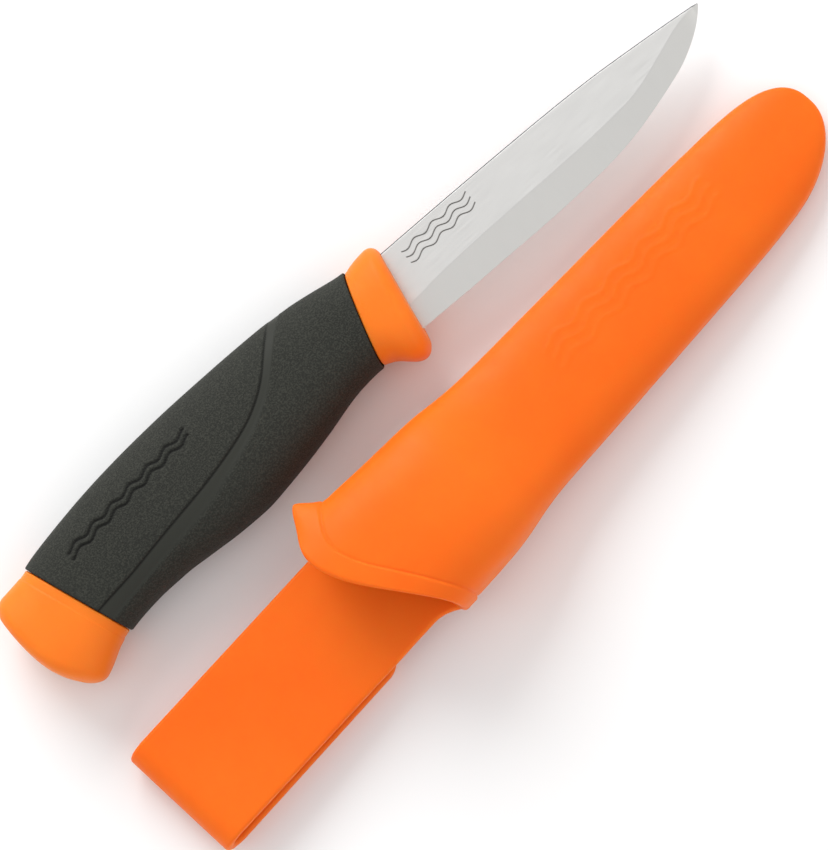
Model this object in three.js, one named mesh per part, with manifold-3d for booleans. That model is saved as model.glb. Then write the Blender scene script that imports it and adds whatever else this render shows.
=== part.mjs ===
// Rigging knife with a clip-on belt sheath, in millimetres, +Z up.
// The knife lies drawn on its side next to the sheath, which rests on its belt clip and tip.
// +X runs towards both points. The origin is the middle of the footprint, on the surface below.
import * as THREE from 'three';
import { mergeVertices } from 'three/addons/utils/BufferGeometryUtils.js';
import Module from 'manifold-3d';

const wasm = await Module();
wasm.setup();

// Knife, measured along its own axis from the butt, spine up (+y), blade flat (z = 0).
const BLADE_THICK = 2.5;
const EDGE_THICK = 0.3;
const GAP = 0.3; // clearance kept between neighbouring pieces
const TANG = { start: 48, end: 124, high: 6, low: -6, taper: 2.5 };
const STEM = { start: 9, end: 119, scale: 0.56, steps: 8 };
// Slanted joints between the black grip and the orange ends: x at the spine and at the belly.
const GRIP_REAR = { spine: { x: 12, y: 11.6 }, belly: { x: 20.5, y: -15.8 } };
const GRIP_FRONT = { spine: { x: 114.1, y: 12.7 }, belly: { x: 105.5, y: -10.7 } };
const GUARD_FACE = { spine: { x: 124.2, y: 9.6 }, belly: { x: 119.2, y: -14.6 } };

// Handle outline stations: x, spine y, belly y, half thickness.
const HANDLE = [
  [0, 7.4, -7, 5.5],
  [2, 9.6, -12.8, 8],
  [5, 10.6, -17.6, 9.2],
  [10, 11.6, -20, 9.9],
  [16, 13.1, -17.8, 10],
  [24, 14.4, -15.4, 10.1],
  [35, 15.8, -14.5, 10.5],
  [48, 16.7, -15.6, 10.9],
  [62, 17.1, -16.6, 11],
  [76, 16.9, -15.2, 10.6],
  [90, 16.4, -12.4, 9.8],
  [102, 15.3, -10.3, 9.2],
  [107, 14.4, -10.8, 9.5],
  [112, 13.3, -14.5, 10.3],
  [116, 12.9, -16.4, 10.6],
  [120, 13.2, -16.2, 10.2],
  [126, 12.4, -15, 9],
];

// Blade stations: x, spine y, top of the bevel y, cutting edge y.
const BLADE = [
  [120, 9.9, -4, -10.3],
  [130, 9.8, -3.4, -10.5],
  [142, 9.3, -3.2, -11],
  [154, 8.8, -3.4, -11.4],
  [166, 8.3, -3.7, -11.7],
  [176, 7.8, -3.9, -11.6],
  [186, 7.1, -3.8, -10.9],
  [195, 6.1, -3.2, -9.1],
  [203, 5.1, -1, -7.1],
  [210, 4.2, 1.3, -4.5],
  [215.5, 3.5, 2.6, -1.4],
  [219.6, 2.9, 2.7, 2.2],
];

// Sheath, measured along its back from the fold of the clip; y across, z out from the back.
const SHEATH_WALL = 2;
const PLATE = { thick: 2.5, half: 16.1, start: 6.3, end: 84 };
const TONGUE = { end: 61.6, thick: 2.5, depth: 9.5, corner: 6 };
const BACK_REST = 208; // where the back of the sheath meets the surface near its tip
const TILT = Math.asin(TONGUE.depth / BACK_REST);
// Stations: x, half width, centre y, front height, back height.
const SHEATH = [
  [52, 19.6, 0.6, 25, 0],
  [64, 20, 0.4, 26, 0],
  [76, 20.3, 0, 26, 0],
  [88, 19.9, -0.6, 25.8, 0],
  [98, 19.6, -0.7, 25, 0],
  [105, 18.9, -0.4, 22.6, 0],
  [112, 17.9, 0, 18, 0],
  [119, 17.4, 0.1, 15, 0],
  [135, 17, 0.1, 13.6, 0],
  [155, 16.4, 0.1, 12.8, 0],
  [175, 15.8, 0.1, 12, 0],
  [193, 15.1, 0.2, 11.2, 0],
  [205, 14.1, 0.3, 10.5, 0],
  [212, 13, 0.7, 9.8, 0.3],
  [217, 11.3, 1.2, 8.9, 0.9],
  [221, 8, 1.8, 7.6, 1.8],
  [223.2, 3.8, 2, 6, 3],
];
const CAVITY = { start: 50, end: 216 };
const MOUTH = { start: 58, end: 100 }; // stretch of the sheath that the thumb ear is cut to
// The front lip of the mouth seen from the front, from the thumb side to the other side.
const MOUTH_LIP = [
  [68.5, 24],
  [64.6, 19],
  [62.4, 14],
  [63.4, 6.5],
  [66.1, -0.9],
  [70.4, -7.8],
  [75, -15.6],
  [79, -21],
];
const THUMB_EAR = [
  [63.6, 13],
  [64.9, 18.4],
  [67.6, 22.4],
  [69.2, 23.3],
  [71, 22.6],
  [75, 20.6],
  [81, 18.6],
  [81, 13],
];
const EAR = { low: 15.5, high: 19.5 };

// Where the knife's butt lies from the sheath's fold, and the knife's turn about Z.
const KNIFE_AT = { x: 3.1, y: 53.6, turn: THREE.MathUtils.degToRad(-5.2) };

const SIDES = 28; // points around a moulded section
const LIP_STEPS = 14;
const FOLD_STEPS = 10;
const CORNER_STEPS = 5;
const BEYOND = 60; // reach of a cutting block, past every surface that it cuts
const finishes = {
  orange: new THREE.MeshStandardMaterial({ color: 0xf47a2c, roughness: 0.45 }),
  rubber: new THREE.MeshStandardMaterial({ color: 0x3a3b37, roughness: 0.85 }),
  steel: new THREE.MeshStandardMaterial({ color: 0xd8d7d5, roughness: 0.3, metalness: 1 }),
};

function toManifold(geometry) {
  const bare = new THREE.BufferGeometry();
  bare.setAttribute('position', geometry.getAttribute('position'));
  bare.setIndex(geometry.index);
  const merged = mergeVertices(bare, 1e-4);
  const vertProperties = new Float32Array(merged.attributes.position.array);
  const triVerts = new Uint32Array(merged.index.array);
  return new wasm.Manifold(new wasm.Mesh({ numProp: 3, vertProperties, triVerts }));
}

function toGeometry(solid) {
  const mesh = solid.getMesh();
  const geometry = new THREE.BufferGeometry();
  geometry.setAttribute('position', new THREE.BufferAttribute(new Float32Array(mesh.vertProperties), 3));
  geometry.setIndex(new THREE.BufferAttribute(new Uint32Array(mesh.triVerts), 1));
  return geometry;
}

// Smooth value of one column of a station table at x.
function along(stations, column, x) {
  const xs = stations.map((row) => row[0]);
  const ys = stations.map((row) => row[column]);
  const limited = Math.min(Math.max(x, xs[0]), xs[xs.length - 1]);
  return new THREE.CubicInterpolant(xs, ys, 1).evaluate(limited)[0];
}

// Closed solid through rings of equal length, each a list of [x, y, z].
function loft(rings) {
  const count = rings[0].length;
  const points = rings.flat();
  const faces = [];
  for (let r = 0; r < rings.length - 1; r += 1) {
    for (let i = 0; i < count; i += 1) {
      const next = (i + 1) % count;
      const a = r * count + i;
      const b = r * count + next;
      faces.push(a, b, a + count, b, b + count, a + count);
    }
  }
  const last = (rings.length - 1) * count;
  for (let i = 1; i < count - 1; i += 1) {
    faces.push(0, i + 1, i);
    faces.push(last, last + i, last + i + 1);
  }
  const geometry = new THREE.BufferGeometry();
  geometry.setAttribute('position', new THREE.Float32BufferAttribute(points.flat(), 3));
  geometry.setIndex(faces);
  return geometry;
}

// Rounded section across x. A higher power makes a half squarer.
function section({ x, centreY, halfY, low, high, lowPower, highPower }) {
  const middle = (low + high) / 2;
  const halfZ = (high - low) / 2;
  const ring = [];
  for (let i = 0; i < SIDES; i += 1) {
    const turn = (i / SIDES) * Math.PI * 2;
    const power = 2 / (Math.sin(turn) < 0 ? lowPower : highPower);
    const c = Math.cos(turn);
    const s = Math.sin(turn);
    const y = centreY + halfY * Math.sign(c) * Math.abs(c) ** power;
    const z = middle + halfZ * Math.sign(s) * Math.abs(s) ** power;
    ring.push([x, y, z]);
  }
  return ring;
}

// Flat outline in x and y, given a thickness in z.
function extrusion(outline, low, high) {
  const shape = new THREE.Shape(outline.map(([x, y]) => new THREE.Vector2(x, y)));
  const geometry = new THREE.ExtrudeGeometry(shape, { depth: high - low, bevelEnabled: false });
  return geometry.translate(0, 0, low);
}

function slab(outline, low, high) {
  return toManifold(extrusion(outline, low, high));
}

// Everything behind a slanted joint line, less a set-back.
function behind(line, setBack) {
  const slope = (line.spine.x - line.belly.x) / (line.spine.y - line.belly.y);
  const top = line.spine.x + (BEYOND - line.spine.y) * slope - setBack;
  const bottom = line.spine.x - (BEYOND + line.spine.y) * slope - setBack;
  const outline = [[-BEYOND, -BEYOND], [bottom, -BEYOND], [top, BEYOND], [-BEYOND, BEYOND]];
  return slab(outline, -BEYOND, BEYOND);
}

function handleRing(x, scale, shrink) {
  const spine = along(HANDLE, 1, x);
  const belly = along(HANDLE, 2, x);
  const half = along(HANDLE, 3, x) * scale - shrink;
  return section({
    x,
    centreY: ((spine + belly) / 2) * scale,
    halfY: ((spine - belly) / 2) * scale - shrink,
    low: -half,
    high: half,
    lowPower: 2.5,
    highPower: 2.5,
  });
}

function handleEnvelope() {
  return toManifold(loft(HANDLE.map(([x]) => handleRing(x, 1, 0))));
}

function stem(grow) {
  const rings = [];
  for (let i = 0; i <= STEM.steps; i += 1) {
    const x = THREE.MathUtils.lerp(STEM.start, STEM.end, i / STEM.steps);
    rings.push(handleRing(x, STEM.scale, -grow));
  }
  return toManifold(loft(rings));
}

function tang(grow) {
  const half = BLADE_THICK / 2 + grow;
  const low = TANG.low - grow;
  const high = TANG.high + grow;
  const start = TANG.start - grow;
  const outline = [
    [start, low + TANG.taper],
    [TANG.end, low],
    [TANG.end, high],
    [start, high - TANG.taper],
  ];
  return slab(outline, -half, half);
}

function bladeRing([x, spine, bevel, edge], grow) {
  const half = BLADE_THICK / 2 + grow;
  const thin = EDGE_THICK / 2 + grow;
  return [
    [x, spine + grow, half],
    [x, spine + grow, -half],
    [x, bevel, -half],
    [x, edge - grow, -thin],
    [x, edge - grow, thin],
    [x, bevel, half],
  ].reverse();
}

function blade() {
  const body = toManifold(loft(BLADE.map((station) => bladeRing(station, 0))));
  return body.add(tang(0));
}

function handleCore() {
  const envelope = handleEnvelope();
  const head = envelope.intersect(behind(GUARD_FACE, 0)).subtract(behind(GRIP_FRONT, -GAP / 2));
  const pommel = envelope.intersect(behind(GRIP_REAR, GAP / 2));
  const bladeRoot = toManifold(loft(BLADE.slice(0, 2).map((station) => bladeRing(station, GAP))));
  return head.add(pommel).add(stem(0)).subtract(tang(GAP)).subtract(bladeRoot);
}

function gripSleeve() {
  const middle = handleEnvelope().intersect(behind(GRIP_FRONT, GAP / 2));
  return middle.subtract(behind(GRIP_REAR, -GAP / 2)).subtract(stem(GAP));
}

function sheathRing(x, inset) {
  return section({
    x,
    centreY: along(SHEATH, 2, x),
    halfY: along(SHEATH, 1, x) - inset,
    low: along(SHEATH, 4, x) + inset,
    high: along(SHEATH, 3, x) - inset,
    lowPower: 4.5,
    highPower: 2.8,
  });
}

// The sheath's own shape between two places, drawn in by inset.
function core(start, end, inset) {
  const stations = SHEATH.map(([x]) => x).filter((x) => x > start && x < end);
  return toManifold(loft([start, ...stations, end].map((x) => sheathRing(x, inset))));
}

function pocket() {
  const outer = toManifold(loft(SHEATH.map(([x]) => sheathRing(x, 0))));
  return outer.subtract(core(CAVITY.start, CAVITY.end, SHEATH_WALL));
}

// Everything on the clip's side of the lip.
function mouthCut() {
  const lip = new THREE.SplineCurve(MOUTH_LIP.map(([x, y]) => new THREE.Vector2(x, y)));
  const edge = lip.getPoints(LIP_STEPS).map((point) => [point.x, point.y]);
  const first = edge[0];
  const final = edge[edge.length - 1];
  const corners = [[final[0], -BEYOND], [0, -BEYOND], [0, BEYOND], [first[0], BEYOND]];
  return slab([...edge, ...corners].reverse(), -BEYOND, BEYOND);
}

function plate() {
  const { thick, half, start, end } = PLATE;
  return slab([[start, -half], [end, -half], [end, half], [start, half]], 0, thick);
}

function ear() {
  const tab = slab([...THUMB_EAR].reverse(), EAR.low, EAR.high);
  return tab.subtract(core(MOUTH.start, MOUTH.end, SHEATH_WALL));
}

function sheathBody() {
  return pocket().subtract(mouthCut()).add(plate()).add(ear());
}

// Side outline of the fold and the tongue that runs back under the plate, as one strip.
function beltClip() {
  const { end, thick, depth, corner } = TONGUE;
  const rise = Math.tan(TILT);
  const outer = (PLATE.thick + depth) / (2 + rise);
  const hub = [outer, PLATE.thick - outer];
  const start = PLATE.start - GAP;
  const round = [Math.PI / 2, (3 * Math.PI) / 2, FOLD_STEPS];
  const profile = [
    [start, PLATE.thick],
    ...arc(hub, outer, ...round),
    [end, end * rise - depth],
    [end, end * rise - depth + thick],
    ...arc(hub, outer - thick, ...round).reverse(),
    [start, 0],
  ];
  const strip = extrusion(profile, -PLATE.half, PLATE.half).rotateX(Math.PI / 2);
  return toManifold(strip).intersect(roundedPlan(end, PLATE.half, corner));
}

// Points on a round stretch, both ends included.
function arc([centreX, centreY], radius, from, to, steps) {
  return Array.from({ length: steps + 1 }, (_, i) => {
    const turn = THREE.MathUtils.lerp(from, to, i / steps);
    return [centreX + Math.cos(turn) * radius, centreY + Math.sin(turn) * radius];
  });
}

// Straight strip whose far end has two rounded corners.
function roundedPlan(end, half, radius) {
  const side = Math.PI / 2;
  const outline = [
    [-GAP, -half],
    ...arc([end - radius, radius - half], radius, -side, 0, CORNER_STEPS),
    ...arc([end - radius, half - radius], radius, 0, side, CORNER_STEPS),
    [-GAP, half],
  ];
  return slab(outline, -BEYOND, BEYOND);
}

function addPiece(group, name, solid, finish, place) {
  const geometry = toGeometry(solid);
  geometry.applyMatrix4(place);
  const mesh = new THREE.Mesh(geometry, finish.clone());
  mesh.name = name;
  group.add(mesh);
}

// Knife on its side, touching the surface; sheath tipped so that clip and tip both touch it.
function knifePlace() {
  const restHeight = Math.max(...HANDLE.map((row) => row[3]));
  const turn = new THREE.Matrix4().makeRotationZ(KNIFE_AT.turn);
  return turn.setPosition(KNIFE_AT.x, KNIFE_AT.y, restHeight);
}

function sheathPlace() {
  const lean = new THREE.Matrix4().makeRotationY(TILT);
  return lean.setPosition(0, 0, TONGUE.depth * Math.cos(TILT));
}

function build() {
  const group = new THREE.Group();
  group.name = 'rigging_knife';
  addPiece(group, 'blade', blade(), finishes.steel, knifePlace());
  addPiece(group, 'handle_core', handleCore(), finishes.orange, knifePlace());
  addPiece(group, 'grip_sleeve', gripSleeve(), finishes.rubber, knifePlace());
  addPiece(group, 'sheath_body', sheathBody(), finishes.orange, sheathPlace());
  addPiece(group, 'belt_clip', beltClip(), finishes.orange, sheathPlace());
  const box = new THREE.Box3().setFromObject(group, true);
  const middle = box.getCenter(new THREE.Vector3());
  group.children.forEach((mesh) => mesh.geometry.translate(-middle.x, -middle.y, -box.min.z));
  return group;
}

const group = build();
export default group;
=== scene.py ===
"""A drawn rigging knife lying beside its clip-on belt sheath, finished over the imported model."""

import logging
import math
from dataclasses import dataclass, field
from enum import IntEnum

import bpy
import numpy as np
from mathutils import Matrix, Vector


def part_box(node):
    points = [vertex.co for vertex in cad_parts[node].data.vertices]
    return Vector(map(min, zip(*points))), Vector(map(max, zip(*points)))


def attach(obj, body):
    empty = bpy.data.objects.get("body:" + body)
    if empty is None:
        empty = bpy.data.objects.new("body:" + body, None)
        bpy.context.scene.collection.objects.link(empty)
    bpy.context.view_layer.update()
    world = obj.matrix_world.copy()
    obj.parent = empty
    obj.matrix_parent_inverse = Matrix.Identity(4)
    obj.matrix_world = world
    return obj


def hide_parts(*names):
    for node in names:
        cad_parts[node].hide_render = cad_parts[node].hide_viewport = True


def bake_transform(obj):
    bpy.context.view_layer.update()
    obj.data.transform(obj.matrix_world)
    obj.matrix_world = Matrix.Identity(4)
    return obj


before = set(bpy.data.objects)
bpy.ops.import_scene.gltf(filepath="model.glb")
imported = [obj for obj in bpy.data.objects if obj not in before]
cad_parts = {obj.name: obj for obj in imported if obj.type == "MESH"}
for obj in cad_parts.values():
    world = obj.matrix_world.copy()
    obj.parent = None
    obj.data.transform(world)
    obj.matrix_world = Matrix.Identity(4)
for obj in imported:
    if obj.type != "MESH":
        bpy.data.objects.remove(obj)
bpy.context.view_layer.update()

MM = 0.001
LOG = logging.getLogger("rigging_knife")


# ---------------------------------------------------------------- numbers and curves


def linear(hex_colour: str) -> tuple[float, float, float, float]:
    """Turn an sRGB hex colour into linear red, green, blue and a full alpha.

    Args:
        hex_colour: Six hex digits, without a hash sign.

    Returns:
        The four channels that a shader socket takes.
    """
    levels = [int(hex_colour[i : i + 2], 16) / 255 for i in (0, 2, 4)]
    red, green, blue = (
        c / 12.92 if c <= 0.04045 else ((c + 0.055) / 1.055) ** 2.4 for c in levels
    )
    return red, green, blue, 1.0


def step(low: float, high: float, value: np.ndarray) -> np.ndarray:
    """Ease from 0 at low to 1 at high, with level ends."""
    t = np.clip((value - low) / (high - low), 0.0, 1.0)
    return t * t * (3 - 2 * t)


def bend(value: np.ndarray, power: float | np.ndarray) -> np.ndarray:
    """Raise the size of a sine or cosine to 2 / power and keep its sign."""
    return np.sign(value) * np.abs(value) ** (2 / power)


def even_turns(count: int, wide: float, deep: float, powers: tuple[float, float]) -> np.ndarray:
    """Find angles whose points lie evenly spaced around a squarish oval.

    The oval's length is added up over a fine run of angles, then read backwards.

    Args:
        count: How many angles.
        wide: Half width of the oval.
        deep: Half depth of the oval.
        powers: Squareness of its rear half and of its front half.

    Returns:
        The angles, from 0 up to but not including a full turn.
    """
    fine = np.linspace(0, 2 * np.pi, 20001)
    power = np.where(np.sin(fine) < 0, *powers)
    steps = np.hypot(*np.diff([wide * bend(np.cos(fine), power), deep * bend(np.sin(fine), power)]))
    length = np.concatenate([[0], np.cumsum(steps)])
    return np.interp(np.arange(count) / count * length[-1], length, fine)


@dataclass(frozen=True)
class Waves:
    """A plain mark of wavy lines in a slanting box, in millimetres."""

    start: float
    stop: float
    low: float
    high: float
    slope: float = 0.0
    lines: int = 3
    stroke: float = 0.25
    soft: float = 0.2

    def mask(self, x: np.ndarray, y: np.ndarray) -> np.ndarray:
        """Give 1 on the lines and 0 beside them.

        Each line's height is the box's own slope plus a sine; a point is on a line if
        it is within the stroke's half width of it and between the box's ends.

        Args:
            x: Places along the mark.
            y: Places across it.

        Returns:
            The mask, as large as x and y.
        """
        pitch = (self.high - self.low) / self.lines
        sway = 0.27 * pitch * np.sin(2 * np.pi * x / (3.3 * pitch))
        level = y - self.low - self.slope * (x - self.start) - sway
        off = np.abs(np.mod(level, pitch) - pitch / 2)
        ends = step(self.start, self.start + self.soft, x) * step(self.stop, self.stop - self.soft, x)
        inside = (level > 0) & (level < pitch * self.lines)
        return step(self.stroke + self.soft / 2, self.stroke - self.soft / 2, off) * inside * ends


@dataclass(frozen=True)
class Curve:
    """A smooth line through a few measured points, in millimetres."""

    points: tuple[tuple[float, float], ...]
    soft: float = 1.5

    def __call__(self, x: np.ndarray) -> np.ndarray:
        """Read the line at x.

        The points are joined by cubics whose slopes never overshoot, sampled every
        0.25 mm and averaged with a bell curve of width soft, so no joint shows in a
        reflection.

        Args:
            x: Places along the line.

        Returns:
            The height of the line at each place.
        """
        knots, heights = np.array(self.points, float).T
        gaps = np.diff(knots)
        slopes = np.diff(heights) / gaps
        inner = np.where(
            slopes[:-1] * slopes[1:] > 0,
            2 * slopes[:-1] * slopes[1:] / (slopes[:-1] + slopes[1:] + 1e-12),
            0.0,
        )
        tangents = np.concatenate([slopes[:1], inner, slopes[-1:]])
        dense = np.arange(knots[0], knots[-1] + 0.25, 0.25)
        k = np.clip(np.searchsorted(knots, dense, side="right") - 1, 0, len(gaps) - 1)
        t = (dense - knots[k]) / gaps[k]
        line = (
            heights[k] * (2 * t**3 - 3 * t**2 + 1)
            + heights[k + 1] * (3 * t**2 - 2 * t**3)
            + gaps[k] * (tangents[k] * (t**3 - 2 * t**2 + t) + tangents[k + 1] * (t**3 - t**2))
        )
        reach = max(int(self.soft * 12), 1)
        bell = np.exp(-0.5 * (np.arange(-reach, reach + 1) * 0.25 / self.soft) ** 2)
        padded = np.pad(line, reach, mode="reflect", reflect_type="odd")
        line = np.convolve(padded, bell / bell.sum(), mode="valid")
        return np.interp(x, dense, line)


@dataclass(frozen=True)
class Place:
    """Where a part's own axes stand in the row frame, in millimetres."""

    origin: tuple[float, float, float]
    turn: float = 0.0
    lean: float = 0.0

    def row(self, points: np.ndarray) -> np.ndarray:
        """Turn about Z, lean about Y, shift, and change to metres."""
        matrix = Matrix.Rotation(self.turn, 3, "Z") @ Matrix.Rotation(self.lean, 3, "Y")
        return (points @ np.array(matrix).T + np.array(self.origin)) * MM


# ---------------------------------------------------------------- meshes from grids


@dataclass
class Skin:
    """A closed surface on a grid: rings along it, columns around it."""

    name: str
    points: np.ndarray
    marks: dict[str, np.ndarray] = field(default_factory=dict)
    sharp: tuple[int, ...] = ()
    ring_closed: bool = False

    def build(self, place: Place) -> bpy.types.Object:
        """Make the object: a quad between neighbours, a fan at each end's pole.

        Args:
            place: Where the part's own axes stand in the row frame.

        Returns:
            The finished object, at the origin, with its place in its mesh.
        """
        rings, columns = self.points.shape[:2]
        at = np.arange(rings * columns).reshape(rings, columns)
        lower = at if self.ring_closed else at[:-1]
        upper = np.roll(at, -1, axis=0) if self.ring_closed else at[1:]
        quads = np.stack(
            [lower, np.roll(lower, -1, 1), np.roll(upper, -1, 1), upper], axis=-1
        ).reshape(-1, 4)
        points = self.points.reshape(-1, 3)
        fans = np.empty((0, 3), int)
        if not self.ring_closed:
            poles = self.points[[0, -1]].mean(axis=1)
            first, last = len(points), len(points) + 1
            points = np.vstack([points, poles])
            low = np.stack([np.full(columns, first), np.roll(at[0], -1), at[0]], axis=-1)
            high = np.stack([np.full(columns, last), at[-1], np.roll(at[-1], -1)], axis=-1)
            fans = np.vstack([low, high])
        if self._volume(points, quads, fans) < 0:
            quads, fans = quads[:, ::-1], fans[:, ::-1]
        mesh = bpy.data.meshes.new(self.name)
        mesh.from_pydata(place.row(points).tolist(), [], quads.tolist() + fans.tolist())
        mesh.shade_smooth()
        self._write_marks(mesh, len(points))
        self._write_sharp(mesh, at)
        result = bpy.data.objects.new(self.name, mesh)
        bpy.context.scene.collection.objects.link(result)
        return result

    @staticmethod
    def _volume(points: np.ndarray, quads: np.ndarray, fans: np.ndarray) -> float:
        """Add up the signed volume under every face; it is negative if inside out.

        Args:
            points: The points.
            quads: The four-sided faces.
            fans: The three-sided faces.

        Returns:
            The volume.
        """
        faces = np.vstack([quads[:, :3], quads[:, [0, 2, 3]], fans])
        a, b, c = (points[faces[:, i]] for i in range(3))
        return float(np.einsum("ij,ij->i", a, np.cross(b, c)).sum() / 6)

    def _write_marks(self, mesh: bpy.types.Mesh, count: int) -> None:
        """Store the piece's own coordinates and finish masks, one value per point.

        Args:
            mesh: The mesh to write on.
            count: How many points it has, with its poles.
        """
        for name, values in self.marks.items():
            full = np.zeros(count, np.float32)
            flat = np.broadcast_to(values, self.points.shape[:2]).reshape(-1)
            full[: flat.size] = flat
            layer = mesh.attributes.new(name, "FLOAT", "POINT")
            layer.data.foreach_set("value", full)

    def _write_sharp(self, mesh: bpy.types.Mesh, at: np.ndarray) -> None:
        """Keep the creases that run along the named columns crisp.

        Args:
            mesh: The mesh to write on.
            at: The number of each grid point.
        """
        if not self.sharp:
            return
        columns = np.full(len(mesh.vertices), -1)
        columns[: at.size] = np.broadcast_to(np.arange(at.shape[1]), at.shape).reshape(-1)
        ends = np.zeros(len(mesh.edges) * 2, np.int32)
        mesh.edges.foreach_get("vertices", ends)
        ends = columns[ends.reshape(-1, 2)]
        crisp = (ends[:, 0] == ends[:, 1]) & np.isin(ends[:, 0], self.sharp)
        layer = mesh.attributes.new("sharp_edge", "BOOLEAN", "EDGE")
        layer.data.foreach_set("value", crisp)


# ---------------------------------------------------------------- materials


class Finish:
    """Base of the finishes: one material and the one helper that adds its nodes."""

    name = "finish"

    def __init__(self) -> None:
        """Start an empty material with a Principled surface."""
        self.material = bpy.data.materials.new(self.name)
        self.material.use_nodes = True
        self.tree = self.material.node_tree
        self.tree.nodes.clear()
        self.shader = self.tree.nodes.new("ShaderNodeBsdfPrincipled")
        output = self.tree.nodes.new("ShaderNodeOutputMaterial")
        self.tree.links.new(self.shader.outputs[0], output.inputs["Surface"])

    def add(
        self, kind: str, inputs: dict, out: str | int = 0, **settings: object
    ) -> bpy.types.NodeSocket:
        """Add a node with its settings and links.

        Args:
            kind: The node's type.
            inputs: A value or an output socket for each input, by name or number.
            out: Which output to return, by name or number.
            **settings: Properties of the node itself.

        Returns:
            The output socket.
        """
        node = self.tree.nodes.new(kind)
        for key, value in settings.items():
            setattr(node, key, value)
        self._fill(node, inputs)
        return node.outputs[out]

    def _fill(self, node: bpy.types.Node, inputs: dict) -> None:
        """Link or set a node's inputs.

        Args:
            node: The node.
            inputs: A value or an output socket for each input, by name or number.
        """
        for key, value in inputs.items():
            if isinstance(value, bpy.types.NodeSocket):
                self.tree.links.new(value, node.inputs[key])
            else:
                node.inputs[key].default_value = value

    def surface(self, **values: object) -> None:
        """Fill the shader's own inputs, with _ for a space in their names."""
        self._fill(self.shader, {key.replace("_", " "): value for key, value in values.items()})


@dataclass(frozen=True)
class OrangeShade:
    """The two close colours that drift across one orange moulding."""

    light: str
    deep: str


HANDLE_SHADE = OrangeShade("F07F26", "EE7922")
SHEATH_SHADE = OrangeShade("F07019", "EE6815")


class OrangeMoulding(Finish):
    """Polypropylene, injection moulded in a spark-textured tool.

    The eye sees a waxy, glowing orange that goes red in its shadows, with a soft
    satin gleam, a very fine even texture and faint cloudy flow marks.
    """

    name = "orange_polypropylene_moulded"

    def __init__(self, shade: OrangeShade) -> None:
        """Build the moulded orange in its own two colours.

        Args:
            shade: The two colours.
        """
        super().__init__()
        where = self.add("ShaderNodeTexCoord", {}, "Object")
        noise = "ShaderNodeTexNoise"
        cloud = self.add(noise, {"Vector": where, "Scale": 1 / 0.036, "Detail": 3.0})
        drift = self.add("ShaderNodeMapRange", {"Value": cloud, "From Min": 0.35, "From Max": 0.65})
        colours = {0: drift, 6: linear(shade.light), 7: linear(shade.deep)}
        # Handling leaves short dull scuffs, 3 to 6 mm long, that only the gloss shows.
        scuff = self.add(noise, {"Vector": where, "Scale": 1 / 0.0045, "Detail": 5.0})
        # Spark texture is about 0.05 mm; it is drawn at 0.35 mm so that it can show.
        spark = self.add(noise, {"Vector": where, "Scale": 1 / 0.00035, "Detail": 2.0})
        # The skin sinks a little where the wall cooled unevenly, over about 12 mm.
        sink = self.add(noise, {"Vector": where, "Scale": 1 / 0.012, "Detail": 1.0})
        low = self.add("ShaderNodeBump", {"Height": sink, "Distance": 0.05 * MM}, "Normal")
        fine = {"Height": spark, "Distance": 0.014 * MM, "Normal": low}
        self.surface(
            Base_Color=self.add("ShaderNodeMix", colours, 2, data_type="RGBA"),
            Roughness=self.add(
                "ShaderNodeMapRange",
                {"Value": scuff, "From Min": 0.3, "From Max": 0.7, "To Min": 0.38, "To Max": 0.5},
            ),
            Normal=self.add("ShaderNodeBump", fine, "Normal"),
            IOR=1.49,
            Specular_IOR_Level=0.12,
            Subsurface_Weight=0.45,
            Subsurface_Radius=(1.0, 0.25, 0.05),
            Subsurface_Scale=0.0034,
        )


class RubberGrip(Finish):
    """Thermoplastic rubber, moulded over the handle with a grained tool face.

    The eye sees a matt greenish black with a fine leathery grain, flecked lighter by
    partly lighter grains and partly painted glints, smooth and a little lighter in the
    sweeping channel, and painted near-black in the cut lines as painted shade.
    """

    name = "black_rubber_moulded_grain"

    def __init__(self) -> None:
        """Build the grained rubber."""
        super().__init__()
        where = self.add("ShaderNodeTexCoord", {}, "Object")
        smooth = self.add("ShaderNodeAttribute", {}, "Fac", attribute_name="channel")
        cut = self.add("ShaderNodeAttribute", {}, "Fac", attribute_name="cut")
        # The grain's pits are about 0.4 mm across.
        noise = "ShaderNodeTexNoise"
        grain = self.add(noise, {"Vector": where, "Scale": 1 / 0.00036, "Detail": 2.0})
        # Lighter flecks are painted into the grained skin: partly lighter grains of the rubber, partly
        # painted glints where the grain catches light.
        fleck = self.add(noise, {"Vector": where, "Scale": 1 / 0.0004, "Detail": 1.5})
        flecks = self.add("ShaderNodeMapRange", {"Value": fleck, "From Min": 0.42, "From Max": 0.66})
        rough = self.add("ShaderNodeMapRange", {"Value": smooth, "To Min": 1.0, "To Max": 0.12})
        shown = self.add("ShaderNodeMath", {0: flecks, 1: rough}, operation="MULTIPLY")
        skin = {0: shown, 6: linear("272824"), 7: linear("383933")}
        colour = self.add("ShaderNodeMix", skin, 2, data_type="RGBA")
        band = {0: smooth, 6: colour, 7: linear("30312C")}
        banded = self.add("ShaderNodeMix", band, 2, data_type="RGBA")
        # Near-black is painted into the V cut and the sunken mark: painted shade in these recesses.
        painted_cut_shade = {0: cut, 6: banded, 7: linear("050505")}
        height = self.add("ShaderNodeMath", {0: grain, 1: rough}, operation="MULTIPLY")
        self.surface(
            Base_Color=self.add("ShaderNodeMix", painted_cut_shade, 2, data_type="RGBA"),
            Roughness=self.add("ShaderNodeMapRange", {"Value": smooth, "To Min": 0.68, "To Max": 0.55}),
            Normal=self.add("ShaderNodeBump", {"Height": height, "Distance": 0.2 * MM}, "Normal"),
            IOR=1.5,
            Specular_IOR_Level=0.16,
        )


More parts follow.
